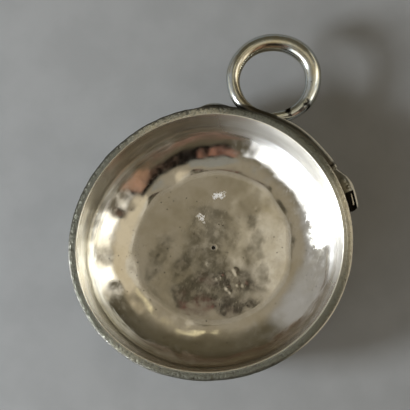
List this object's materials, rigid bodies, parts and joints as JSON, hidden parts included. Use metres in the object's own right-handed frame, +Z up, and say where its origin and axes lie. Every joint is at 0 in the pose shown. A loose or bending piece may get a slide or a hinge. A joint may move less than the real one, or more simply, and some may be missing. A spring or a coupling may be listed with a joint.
{
  "type": "tastevin",
  "caption": "Silver wine taster: a shallow raised bowl with a flat floor, a half-round wired rim and a finger ring in the form of a serpent soldered to the wall.",
  "frame": {"origin": "centre of the bowl's flat base, on the surface that it stands on", "axes": "+Z up along the bowl's axis, +X from the bowl towards the finger ring, +Y towards the tail's side"},
  "size_m": [0.1059, 0.08, 0.025],
  "materials": {
    "raised_silver": "hand-raised old silver, planished, scratched and lightly tarnished",
    "pitted_rim_silver": "oxidised and pitted silver with worn bright edges",
    "forged_silver": "forged silver polished by handling, yellowed in the hollows",
    "hard_solder": "dull tarnished hard solder"
  },
  "bodies": {
    "root": {"bowl": "raised_silver", "rim_wire": "pitted_rim_silver", "rim_solder": "hard_solder", "serpent_ring": "forged_silver", "serpent_head": "forged_silver", "serpent_tongue": "forged_silver", "neck_solder": "hard_solder", "tail_solder": "hard_solder", "crossing_solder": "hard_solder"}
  },
  "joints": []
}
